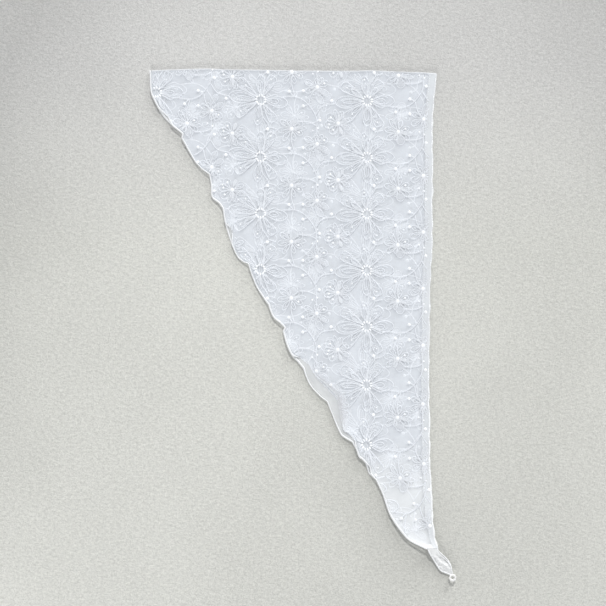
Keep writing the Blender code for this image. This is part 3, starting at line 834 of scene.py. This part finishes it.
def chart():
    """Every stitch of one repeat: lines as (points, width, thick), and dots."""
    flower, rest, flower_dots, dots = [], [], [], []
    for angle, length, width, blunt, inner, inner_width in LARGE:
        flower.append((spline(petal(angle, length, width, blunt=blunt)), LINE, 0.4))
        if inner:
            base = 8.0 if inner_width > 4.5 else 5.0
            flower.append((spline(petal(angle + 2, inner, inner_width, base=base)), LINE - 0.06, 0.4))
            between = petal(angle - 1, (length + inner) / 2, (width + inner_width) / 2, blunt=blunt)
            flower.append((spline(between[:5]), 0.44, 0.3))
            flower.append((spline(between[6:]), 0.44, 0.3))
            way = math.radians(angle + 1)
            flower.append((spline(np.array(((5.6, 0.0), (inner * 0.5, 0.3), (inner * 0.9, 0.0))) @ np.array(((math.cos(way), math.sin(way)), (-math.sin(way), math.cos(way))))), FINE, 0.3))
    for x, y in RING:
        flower_dots.append((x, y, 0.92, math.degrees(math.atan2(y, x))))
        out = np.array((x, y)) / math.hypot(x, y)
        flower.append((spline((out * 5.8, out * 7.6)), 0.62, 0.35))
        turn = math.radians(16)
        off = np.array((out[0] * math.cos(turn) - out[1] * math.sin(turn), out[0] * math.sin(turn) + out[1] * math.cos(turn)))
        flower.append((spline((off * 6.2, off * 9.5)), FINE, 0.3))
    for x, y, r in FLOWER_DOTS:
        flower_dots.append((x, y, r, 0.0))
    for line in VINES:
        rest.append((spline(line), 0.88, 0.42))
    for x, y, r in DOTS:
        dots.append((x, y, r, 0.0))
    leaf = spline(np.array(petal(*LEAF_SHAPE, base=0.5)) + np.array(LEAF_AT), closed=True)
    rest.append((leaf, FINE, 0.35))
    rest += [(spline(ends), 0.5, 0.3) for ends in fill(leaf, 35, 1.05)]
    for (cx, cy), petals in SMALL:
        middle = np.array((cx, cy))
        for k in range(13):
            a = math.radians(k * 360 / 13 + 9)
            out = np.array((math.cos(a), math.sin(a)))
            rest.append((spline((middle + out * 0.5, middle + out * (3.4 if k % 2 else 5.2)), step=1.3), 0.9, 0.4))
        dots.append((cx, cy, 2.0, 0.0))
        for angle, length, width, kind in petals:
            loop = np.array(petal(angle, length, width, base=2.6)) + middle
            a = math.radians(angle)
            way = np.array((math.cos(a), math.sin(a)))
            if kind == "solid":
                shape = np.array(petal(angle, length, width, base=2.0)) + middle
                rest += [(spline(ends, step=1.4), 0.85, 0.4) for ends in fill(spline(shape, closed=True), angle + 90, 0.72)]
                continue
            rest.append((spline(loop), 0.58, 0.35))
            if kind == "loop":
                rest.append((spline(np.array(petal(angle + 3, length * 0.74, width * 0.5, base=3.0)) + middle), FINE, 0.3))
            if kind == "vein":
                across = np.array((-way[1], way[0])) * width * 0.17
                for side in (-1, 1):
                    rest.append((spline((middle + way * 3.2, middle + way * (length * 0.78) + across * side)), FINE, 0.3))
            if kind == "dot":
                far = middle + way * (length * 0.66)
                dots.append((far[0], far[1], 1.1, 0.0))
                rest.append((spline((middle + way * 2.8, far)), FINE, 0.35))
            if kind == "hatch":
                shape = spline(np.array(petal(angle, length - 0.8, width - 1.0, base=3.4)) + middle, closed=True)
                rest += [(spline(ends), 0.5, 0.3) for ends in fill(shape, angle + 12, 0.95)]
    return flower, flower_dots, rest, dots


FLOWER, FLOWER_RING, SPRAY, SPRAY_DOTS = chart()
REPEAT = 56.5
SLOPE = 0.0475

# Columns of large flowers: u, whether the repeat is upside down, and their rows' places below the corner.
UPPER_COLUMNS = (
    (7.8, False, (-90.9, -34.4, 22.1, 78.6, 135.1, 191.6, 248.1, 304.6)),
    (111.8, True, (-83.5, -27.0, 29.5, 86.5, 142.8, 199.0, 255.5, 313.5, 372.5)),
    (218.3, False, (-82.5, -26.0, 30.5, 87.0, 143.5, 200.0, 256.0, 314.5, 374.0, 433.5, 493.0)),
)
LOWER_COLUMNS = (
    (11.4, False, (-38.6, 17.9, 74.4, 130.9, 187.4, 243.9)),
    (115.6, True, (-40.2, 16.3, 72.8, 128.8, 184.5, 241.0, 298.0, 355.0)),
    (220.6, False, (-38.5, 17.8, 73.5, 129.0, 186.0, 241.8, 301.2, 358.9, 417.0, 476.0)),
)


def place(kind, column_u, flipped, rows, k):
    """Turns a point of the chart into the layout, for one repeat of one layer."""
    row = rows[k]
    after = (rows[k + 1] - row) if k + 1 < len(rows) else row - rows[k - 1]
    before = (row - rows[k - 1]) if k else after
    sign = -1.0 if flipped else 1.0
    if kind == "upper":
        lean, slope, wide = -0.0027, SLOPE, (0.976 if column_u < 50 else 1.0)
    else:
        lean, slope, wide = -0.0229, -0.0025, 0.986
        sign = -sign
    at = column_u + lean * row

    def set_down(p):
        x, y = p[..., 0], p[..., 1] * sign
        y = np.where(y > 0, y * after / REPEAT, y * before / REPEAT)
        near_neck = 0.105 * np.maximum(0, row + y - 380.0) if kind == "upper" else 0.0
        return np.stack((at + x * wide + lean * y + near_neck, -(row + y + slope * x) - 0.35 * near_neck), -1)

    return set_down


def drop(tree, line, below):
    """Lays a line on a layer; returns the runs that lie on it."""
    runs, run = [], []
    z, way = (-20.0, Vector((0, 0, 1))) if below else (30.0, Vector((0, 0, -1)))
    for x, y in line:
        hit, normal, _, _ = tree.ray_cast(Vector((x, y, z)), way)
        if hit is None:
            if len(run) > 2:
                runs.append(run)
            run = []
        else:
            run.append((tuple(hit), tuple(normal if normal.z > 0 else -normal)))
    if len(run) > 2:
        runs.append(run)
    return runs


def embroider(kind, columns, tree, below):
    flowers, sprays, satin = Threads(), Threads(), Threads()
    for column_u, flipped, rows in columns:
        for k in range(len(rows)):
            spot = place(kind, column_u, flipped, rows, k)
            for source, dots, into in ((FLOWER, FLOWER_RING, flowers), (SPRAY, SPRAY_DOTS, sprays)):
                for line, width, thick in source:
                    laid = spot(line)
                    if laid[:, 1].min() > 8 or laid[:, 1].max() < -490 or laid[:, 0].min() > 296:
                        continue
                    for run in drop(tree, laid, below):
                        into.strand([r[0] for r in run], [r[1] for r in run], width * (1.2 if below else 1.0), thick)
                for x, y, radius, angle in dots:
                    p = spot(np.array((x, y)))
                    if p[1] > 8 or p[1] < -490:
                        continue
                    hit, normal, _, _ = tree.ray_cast(Vector((p[0], p[1], -20.0 if below else 30.0)), Vector((0, 0, 1 if below else -1)))
                    if hit is not None:
                        satin.disc(tuple(hit), tuple(normal), radius * (1.1 if below else 1.0), 0.65, stretch=1.6 if angle else 1.0,
                                  angle=math.radians(-angle))
    return flowers, sprays, satin


upper_flowers, upper_sprays, upper_satin = embroider("upper", UPPER_COLUMNS, ON_UPPER, False)
lower_flowers, lower_sprays, lower_satin = embroider("lower", LOWER_COLUMNS, ON_LOWER, True)
stitched = [
    upper_flowers.piece("flowers_upper", STITCHES),
    upper_sprays.piece("sprays_upper", STITCHES),
    lower_flowers.piece("flowers_lower", UNDER_STITCHES),
    lower_sprays.piece("sprays_lower", UNDER_STITCHES),
    upper_satin.piece("dots_upper", SATIN),
    lower_satin.piece("dots_lower", UNDER_STITCHES),
]


# ------------------------------------------------------------- overlocked edge
# How full the overlocked edge lies: distance along the edge, share of its whole width.
ROLL_FULLNESS = ((0, 0.75), (20, 0.80), (32, 0.95), (60, 0.85), (84, 0.80), (110, 0.55), (126, 0.70), (150, 0.85),
                 (190, 0.72), (215, 0.60), (232, 0.62), (262, 0.85), (285, 0.80), (312, 1.0), (335, 0.95),
                 (345, 0.62), (372, 0.55), (395, 0.62), (412, 0.85), (440, 0.90), (466, 0.72), (490, 0.85), (520, 1.0), (554, 0.95))


def edge_path(upper, step=0.36):
    """Middle of the overlocked edge of one layer, from the fold to the neck."""
    t = np.linspace(0, 1, 2400)
    inset = np.full_like(t, ROLL_WIDTH / 2)
    spot = plan(t, inset, upper)
    z = height(t, inset, spot, upper)
    path = np.concatenate((spot, z[:, None]), -1)
    far = np.concatenate(((0,), np.cumsum(np.linalg.norm(np.diff(path, axis=0), axis=1))))
    at = np.arange(0, far[-1], step)
    return np.stack([np.interp(at, far, path[:, k]) for k in range(3)], -1)


def wound(path, width, thick, pitch, sides=8, ends=True, uneven=None):
    """An oval cord wound with thread, its turns slanting."""
    path = np.asarray(path, float)
    count = len(path)
    run = np.gradient(path, axis=0)
    smooth = np.stack([np.convolve(np.pad(run[:, k], 2, "edge"), np.ones(5) / 5, "valid") for k in range(3)], -1)
    run = unit(smooth)
    up = np.tile(np.array((0.0, 0.0, 1.0)), (count, 1))
    side = unit(np.cross(up, run))
    up = np.cross(run, side)
    far = np.concatenate(((0,), np.cumsum(np.linalg.norm(np.diff(path, axis=0), axis=1))))
    points, uv = [], []
    slow = np.convolve([rng.uniform(-1, 1) for _ in range(count + 24)], np.ones(25) / 25 * 2.2, "valid")[:count]
    for k in range(count):
        close = min(1.0, (k + 1) / 4, (count - k) / 4) if ends else 1.0
        for j in range(sides):
            a = 2 * math.pi * j / sides
            bulge = (1 + 0.11 * math.cos(2 * math.pi * far[k] / pitch + a)) * (1 + 0.10 * slow[k]) * close
            full = 1.0 if uneven is None else uneven[k]
            points.append(path[k] + side[k] * (math.cos(a) * width / 2 * bulge * full)
                          + up[k] * (math.sin(a) * thick / 2 * bulge * full ** 0.75))
            uv.append((far[k] * MM, a / (2 * math.pi) * width * 2 * MM))
    faces = grid_faces(count, sides, closed=True)
    faces.append(tuple(reversed(range(sides))))
    faces.append(tuple((count - 1) * sides + j for j in range(sides)))
    return points, faces, uv


def folded_edge():
    low, up = edge_path(False)[::-1], edge_path(True)
    mid, radius = (low[-1] + up[0]) / 2, (up[0][2] - low[-1][2]) / 2
    turn = [mid + np.array((0, math.cos(a) * radius, math.sin(a) * radius))
            for a in np.linspace(-math.pi / 2, math.pi / 2, 9)[1:-1]]
    path = np.concatenate((low, np.array(turn), up))
    path[:, 2] = np.maximum(path[:, 2], 0.62)
    along = (path[:, 0] * SHORT_EDGE_DIR[0] + path[:, 1] * SHORT_EDGE_DIR[1])
    uneven = np.interp(along, [r[0] for r in ROLL_FULLNESS], [r[1] for r in ROLL_FULLNESS])
    uneven[len(low):] *= 1 - 0.93 * np.clip(np.interp(along[len(low):], ALONG, DRAW) / 4.0, 0, 1)
    points, faces, uv = wound(path, 1.95, 1.15, 1.15, uneven=uneven)
    return make("edge_roll", points, faces, OVERLOCK, uv=uv)


def turned_edge():
    """Where the upper layer draws back furthest its edge is turned under, which doubles the cloth."""
    points, faces = [], []
    # sheer, and denser towards the edge, so that its inner side fades into the cloth
    for step, (reach, start, end) in enumerate(((11.0, 334.0, 424.0), (8.0, 338.0, 420.0), (5.4, 344.0, 414.0), (3.2, 350.0, 406.0))):
        t = np.linspace(start, end, 110) / SHORT_EDGE
        wide = reach * np.sin(np.linspace(0, 1, 110) * math.pi) ** 0.8 * (1 + 0.14 * np.sin(np.arange(110) * (0.21 + 0.06 * step) + step))
        inset = 0.7 + wide[:, None] * np.linspace(0, 1, 12)[None, :]
        spot = plan(t[:, None], inset, True)
        z = height(t[:, None], inset, spot, True) + 0.10 + 0.05 * step
        faces += grid_faces(110, 12, start=len(points))
        points += np.concatenate((spot, z[..., None]), -1).reshape(-1, 3).tolist()
    return make("edge_turn", points, faces, DOUBLE_VOILE)


turned = turned_edge()
edge = folded_edge()
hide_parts("rolled_edge")


# ------------------------------------------------------------- stitch line of the hem
def running_stitches(upper, threads):
    t = np.linspace(0.0, 1.0, 3000)
    length, width = row_length(t, upper), hem_width(t)
    for back, long_, gap in ((width - 1.2, 1.7, 1.0), ):
        inset = length - back
        spot = plan(t, inset, upper)
        z = height(t, inset, spot, upper) + 0.20
        path = np.concatenate((spot, z[:, None]), -1)
        far = np.concatenate(((0,), np.cumsum(np.linalg.norm(np.diff(path, axis=0), axis=1))))
        at = 1.0
        while at + long_ < far[-1]:
            marks = np.linspace(at, at + long_, 4)
            spots = np.stack([np.interp(marks, far, path[:, k]) for k in range(3)], -1)
            threads.strand(spots, np.tile((0.0, 0.0, 1.0), (4, 1)), 0.42, 0.2)
            at += long_ + gap


def outer_cord(upper):
    t = np.linspace(0, 1, 700)
    inset = row_length(t, upper) - 0.75
    spot = plan(t, inset, upper)
    z = height(t, inset, spot, upper)
    return np.concatenate((spot, z[:, None]), -1)


hem_threads = Threads()
running_stitches(True, hem_threads)
running_stitches(False, hem_threads)
stitch_line = hem_threads.piece("hem_stitches", STITCHES)


def hem_fold():
    low, up = outer_cord(False)[::-1], outer_cord(True)
    mid, radius = (low[-1] + up[0]) / 2, (up[0][2] - low[-1][2]) / 2
    turn = [mid + np.array((0, math.cos(a) * radius, math.sin(a) * radius))
            for a in np.linspace(-math.pi / 2, math.pi / 2, 9)[1:-1]]
    path = np.concatenate((low, np.array(turn), up))
    path[:, 2] = np.maximum(path[:, 2], 0.5)
    uneven = np.interp(-path[:, 1], (0, 60, 90, 150, 200, 240, 300, 330, 400, 480), (0.7, 0.85, 0.8, 0.8, 0.6, 0.6, 0.75, 0.85, 1.0, 1.3))
    uneven *= 1 + ripple(path[:, 1], ((0.14, 14.0, 0.3), (0.12, 9.1, 1.0)))
    points, faces, uv = wound(path, 1.55, 0.9, 2.6, uneven=uneven)
    return make("hem_fold", points, faces, HEM_CORD, uv=uv)


fold_cord = hem_fold()


# ------------------------------------------------------------- gathered tips
def rib_at(along):
    keys = [r.along for r in TIP_RIBS]
    return [float(np.interp(along, keys, [getattr(r, f) for r in TIP_RIBS])) for f in ("slant", "left", "upper", "lower", "height", "pitch")]


# Ridges and troughs of the gathered tip: (along, off) to (along, off), half width, height.
TIP_FOLDS = (
    ((25.0, 2.4), (19.8, 1.6), 1.3, 0.9), ((19.8, 1.6), (14.0, -1.0), 1.2, 0.9), ((14.0, -1.0), (5.0, -3.0), 1.1, 0.6),
    ((22.5, 0.6), (18.0, -4.4), 1.1, 0.7), ((10.0, 3.0), (19.0, 4.4), 0.9, -0.7), ((2.0, -1.0), (12.0, 1.2), 1.0, -0.6),
    ((15.0, -3.6), (9.0, -4.2), 1.0, -0.5), ((3.0, 1.8), (8.0, 1.8), 0.9, 0.5), ((19.5, -1.0), (21.5, -3.5), 0.8, -0.4),
)


def neck_tree(grid):
    """The last rows of one layer, which the tip goes on from."""
    rows = grid[-14:]
    points = [Vector(p) for p in rows.reshape(-1, 3)]
    return BVHTree.FromPolygons(points, [tuple(reversed(f)) for f in grid_faces(14, COLUMNS)])


NECK = {"upper": neck_tree(UPPER), "lower": neck_tree(LOWER)}


def tip_point(along, share, layer):
    slant, left, up, low, rise, pitch = rib_at(max(along, -0.7))
    right = up if layer == "upper" else low
    off = left + (right - left) * share
    axis, side = np.array(TIP_AXIS), np.array((-TIP_AXIS[1], TIP_AXIS[0]))
    spot = np.array(TIP_ROOT) + axis * (along + slant * off) + side * off
    if along < 0:
        spot[0] -= 0.25 * along * min(1.0, abs(off) / 4.0) * (1 if off < 0 else 0)
    soft = 0.15 * math.sin(along * 0.9 + off * 1.3) + 0.12 * math.sin(along * 1.7 - off * 0.8)
    for start, end, width, tall in TIP_FOLDS:
        a, run = np.array(start), np.array(end) - np.array(start)
        part = min(1.0, max(0.0, float((np.array((along, off)) - a) @ run / (run @ run))))
        gap = np.linalg.norm(np.array((along, off)) - a - run * part)
        soft += tall * math.exp(-(gap / width) ** 2)
    close = min(1.0, (32.0 - along) / 5.0) * min(1.0, max(0.1, along / 6.0))
    z = rise + (pitch if layer == "upper" else 0.0) + soft * close * (1.0 if layer == "upper" else 0.5)
    # just under the cloth at the neck: high at its left side and low at the hem
    under = min(1.0, max(0.0, 1 - (along - 0.5) / 11.0))
    under = under * under * (3 - 2 * under)
    near = NECK[layer].find_nearest(Vector((spot[0], spot[1], z)))[0]
    for _ in range(2):
        near = NECK[layer].find_nearest(Vector((spot[0], spot[1], near.z)))[0]
    z = z * (1 - under) + (near.z - 0.14) * under
    return np.array((spot[0], spot[1], max(z, 0.35)))


def tip(layer):
    rows, columns = 84, 32
    points = []
    for i in range(rows):
        along = -7.0 + 38.2 * i / (rows - 1)
        for j in range(columns):
            points.append(tip_point(along, j / (columns - 1), layer))
    made = make("tip_" + layer + "_cloth", points, grid_faces(rows, columns, flip=True), TIP_VOILE)
    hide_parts("tip_" + layer)
    return made


def tip_edges():
    points, faces, uv = [], [], []
    for layer, share, width in (("lower", 0.05, 1.3), ("lower", 0.94, 1.35), ("upper", 0.05, 1.3), ("upper", 0.97, 0.7)):
        path = np.array([tip_point(a, share, layer) for a in np.arange(-1.2, 31.2, 0.36)])
        path[:, 2] = np.maximum(path[:, 2], 0.6)
        p, f, w = wound(path, width, 1.0, 1.15)
        base = len(points)
        points += p
        faces += [tuple(base + k for k in face) for face in f]
        uv += w
    return points, faces, uv


tips = [tip("lower"), tip("upper")]
tip_roll = make("tip_edges", *tip_edges()[:2], OVERLOCK, uv=tip_edges()[2])


# ------------------------------------------------------------- thread loop
def loop_piece():
    along = Vector((TIP_AXIS[0], TIP_AXIS[1], 0.0))
    side = Vector((-along.y, along.x, 0.0))
    tilt = math.radians(LOOP_TILT)
    ahead = along * math.cos(tilt) + Vector((0, 0, math.sin(tilt)))
    up = ahead.cross(side)
    up = up if up.z > 0 else -up
    centre = Vector((TIP_ROOT[0], TIP_ROOT[1], LOOP_RISE)) + along * LOOP_ALONG + side * 0.5
    points, faces, uv = [], [], []
    turns, sides = 96, 8
    for ply in range(3):
        base = len(points)
        for i in range(turns):
            a = 2 * math.pi * i / turns
            out = ahead * math.cos(a) + side * math.sin(a)
            twist = 7 * a + ply * 2 * math.pi / 3
            middle = centre + out * (LOOP_RADIUS + 0.55 * math.cos(twist)) + up * (0.5 * math.sin(twist))
            for k in range(sides):
                b = 2 * math.pi * k / sides
                points.append(np.array(middle + out * (0.64 * math.cos(b)) + up * (0.60 * math.sin(b))))
                uv.append((a * LOOP_RADIUS * MM, b * 0.5 * MM))
        for i in range(turns):
            for k in range(sides):
                n, m = (i + 1) % turns, (k + 1) % sides
                faces.append((base + i * sides + k, base + n * sides + k, base + n * sides + m, base + i * sides + m))
    made = make("thread_ring", points, faces, LOOP_SKIN, uv=uv)
    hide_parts("thread_loop")
    return made


ring = loop_piece()


# ------------------------------------------------------------- floor, light, camera
def shade(nodes, links, where, terms):
    """Painted light: a slow change of brightness across the floor, as the light falls off: sum of factor * x^a * y^b.
    """
    split = nodes.new("ShaderNodeSeparateXYZ")
    links.new(mapped(nodes, links, where, (1 / 0.303,) * 3), split.inputs[0])
    axes = (split.outputs["X"], split.outputs["Y"])
    total = None
    for factor, a, b in terms:
        part = None
        for axis, power in zip(axes, (a, b)):
            for _ in range(power):
                part = axis if part is None else summed(nodes, links, part, axis, "MULTIPLY")
        if part is None:
            continue
        part = summed(nodes, links, part, factor, "MULTIPLY")
        total = part if total is None else summed(nodes, links, total, part)
    constant = sum(t[0] for t in terms if t[1] == t[2] == 0)
    return summed(nodes, links, total, constant)


def axis_of(nodes, links, where, axis):
    split = nodes.new("ShaderNodeSeparateXYZ")
    links.new(where, split.inputs[0])
    return split.outputs[axis]


# painted light falloff across the floor: factor, power of x, power of y
FLOOR_PAINTED_LIGHT = ((1.066, 0, 0), (-0.056, 1, 0), (0.057, 0, 1), (-0.098, 2, 0), (0.053, 1, 1), (-0.050, 0, 2),
               (0.083, 3, 0), (-0.140, 2, 1), (-0.018, 1, 2), (-0.040, 0, 3))


def floor():
    mesh = bpy.data.meshes.new("floor")
    mesh.from_pydata([(-3, -3, 0), (3, -3, 0), (3, 3, 0), (-3, 3, 0)], [], [(0, 1, 2, 3)])
    skin = bpy.data.materials.new("floor")
    nodes, links, shader = nodes_of(skin)
    where = nodes.new("ShaderNodeTexCoord").outputs["Object"]
    fuzz = noise(nodes, links, where, 420.0, 3.0, 0.7)
    fibre = noise(nodes, links, mapped(nodes, links, where, (1, 2.2, 1), (0, 0, 0.6)), 190.0, 4.0, 0.7)
    cloud = noise(nodes, links, where, 9.0, 2.0)
    grit = summed(nodes, links, noise(nodes, links, where, 820.0, 1.0), 0.95, "MULTIPLY")
    tone = summed(nodes, links, summed(nodes, links, fuzz, fibre), summed(nodes, links, cloud, 0.25, "MULTIPLY"))
    tone = summed(nodes, links, tone, grit)
    share = ranged(nodes, links, tone, 1.30, 1.90, 0.0, 1.0)
    flat = mix_colour(nodes, links, share, (0.480, 0.473, 0.441), (0.670, 0.660, 0.615))
    # the painted light falloff, held between limits and faded out away from the shawl
    slow = shade(nodes, links, where, FLOOR_PAINTED_LIGHT)
    held = nodes.new("ShaderNodeMath")
    held.operation = "MAXIMUM"
    links.new(slow, held.inputs[0])
    held.inputs[1].default_value = 0.8
    top = nodes.new("ShaderNodeMath")
    top.operation = "MINIMUM"
    links.new(held.outputs[0], top.inputs[0])
    top.inputs[1].default_value = 1.12
    # even again away from the shawl
    reach = nodes.new("ShaderNodeVectorMath")
    reach.operation = "LENGTH"
    links.new(where, reach.inputs[0])
    near = ranged(nodes, links, reach.outputs["Value"], 0.48, 0.85, 1.0, 0.0)
    level = summed(nodes, links, summed(nodes, links, summed(nodes, links, top.outputs[0], -1.0), near, "MULTIPLY"), 1.0)
    scaled = nodes.new("ShaderNodeVectorMath")
    scaled.operation = "SCALE"
    links.new(flat, scaled.inputs[0])
    links.new(level, scaled.inputs["Scale"])
    cool = ranged(nodes, links, axis_of(nodes, links, where, "Y"), 0.08, 0.26, 0.0, 1.0)
    # painted shade: the floor colour is darkened beside the lower part of the wavy edge, and above the right half of
    # the fold, where the cloth's soft shadow falls
    painted_shade = None
    for amount, ramps in (
            (-0.062, (((-0.8653, -0.5013, 0), 0.026, 0.090, 1, 0), ((-0.8653, -0.5013, 0), -0.04, 0.0, 0, 1),
                      ((0.5013, -0.8653, 0), 0.003, 0.123, 0, 1), ((0.5013, -0.8653, 0), 0.263, 0.32, 1, 0))),
            (-0.050, (((0, 1, 0), 0.262, 0.340, 1, 0), ((0, 1, 0), 0.20, 0.25, 0, 1),
                      ((1, 0, 0), -0.06, 0.0, 0, 1), ((1, 0, 0), 0.13, 0.19, 1, 0)))):
        part = None
        for way, start, end, low, high in ramps:
            dot = nodes.new("ShaderNodeVectorMath")
            dot.operation = "DOT_PRODUCT"
            links.new(where, dot.inputs[0])
            dot.inputs[1].default_value = way
            ramp = ranged(nodes, links, dot.outputs["Value"], start, end, low, high)
            part = ramp if part is None else summed(nodes, links, part, ramp, "MULTIPLY")
        part = summed(nodes, links, part, amount, "MULTIPLY")
        painted_shade = part if painted_shade is None else summed(nodes, links, painted_shade, part)
    shaded_floor = nodes.new("ShaderNodeVectorMath")
    shaded_floor.operation = "SCALE"
    links.new(scaled.outputs["Vector"], shaded_floor.inputs[0])
    links.new(summed(nodes, links, painted_shade, 1.0), shaded_floor.inputs["Scale"])
    tinted = nodes.new("ShaderNodeVectorMath")
    tinted.operation = "MULTIPLY"
    links.new(shaded_floor.outputs["Vector"], tinted.inputs[0])
    links.new(mix_colour(nodes, links, cool, (0.995, 1.006, 1.006), (0.996, 1.001, 1.039)), tinted.inputs[1])
    links.new(tinted.outputs["Vector"], shader.inputs["Base Color"])
    put(shader, Roughness=0.95)
    shader.inputs["Specular IOR Level"].default_value = 0.1
    bump = nodes.new("ShaderNodeBump")
    put(bump, Strength=0.35, Distance=0.001)
    links.new(tone, bump.inputs["Height"])
    links.new(bump.outputs["Normal"], shader.inputs["Normal"])
    mesh.materials.append(skin)
    made = bpy.data.objects.new("floor", mesh)
    scene.collection.objects.link(made)
    made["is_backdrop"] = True


floor()

world = bpy.data.worlds.new("studio")
scene.world = world
world.use_nodes = True
world.node_tree.nodes["Background"].inputs["Color"].default_value = (0.93, 0.965, 1.03, 1.0)
world.node_tree.nodes["Background"].inputs["Strength"].default_value = 0.270


def sun(name, way, power, angle, colour):
    data = bpy.data.lights.new(name, "SUN")
    data.energy = power
    data.angle = math.radians(angle)
    data.color = colour
    made = bpy.data.objects.new(name, data)
    made.rotation_mode = "QUATERNION"
    made.rotation_quaternion = Vector(way).to_track_quat("Z", "Y")
    made.location = Vector(way) * 2
    scene.collection.objects.link(made)


sun("key", (0.10, 0.80, 0.78), 1.74, 7.0, (1.0, 0.995, 0.985))
# three low, wide lights, which shade the surface softly round the cloth
sun("low_above", (0.50, 0.87, 0.34), 2.50, 28, (0.98, 0.99, 1.0))
sun("low_below", (-0.20, -1.0, 0.31), 2.32, 28, (0.98, 0.99, 1.0))
sun("low_left", (-1.0, 0.1, 0.36), 0.45, 28, (0.98, 0.99, 1.0))

camera_data = bpy.data.cameras.new("camera")
camera = bpy.data.objects.new("camera", camera_data)
scene.collection.objects.link(camera)
HIGH = 1.9
camera.location = (0.0004, 0.02177, HIGH)
camera_data.sensor_width = 36.0
camera_data.lens = 36.0 * (HIGH - 0.001) / 0.606
camera_data.clip_start = 0.05
camera_data.clip_end = 20.0
scene.camera = camera
scene.view_settings.view_transform = "Standard"
scene.view_settings.look = "None"

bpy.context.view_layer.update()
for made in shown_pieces():
    if made.type == "MESH":
        print("piece", made.name, sum(len(p.vertices) - 2 for p in made.data.polygons))
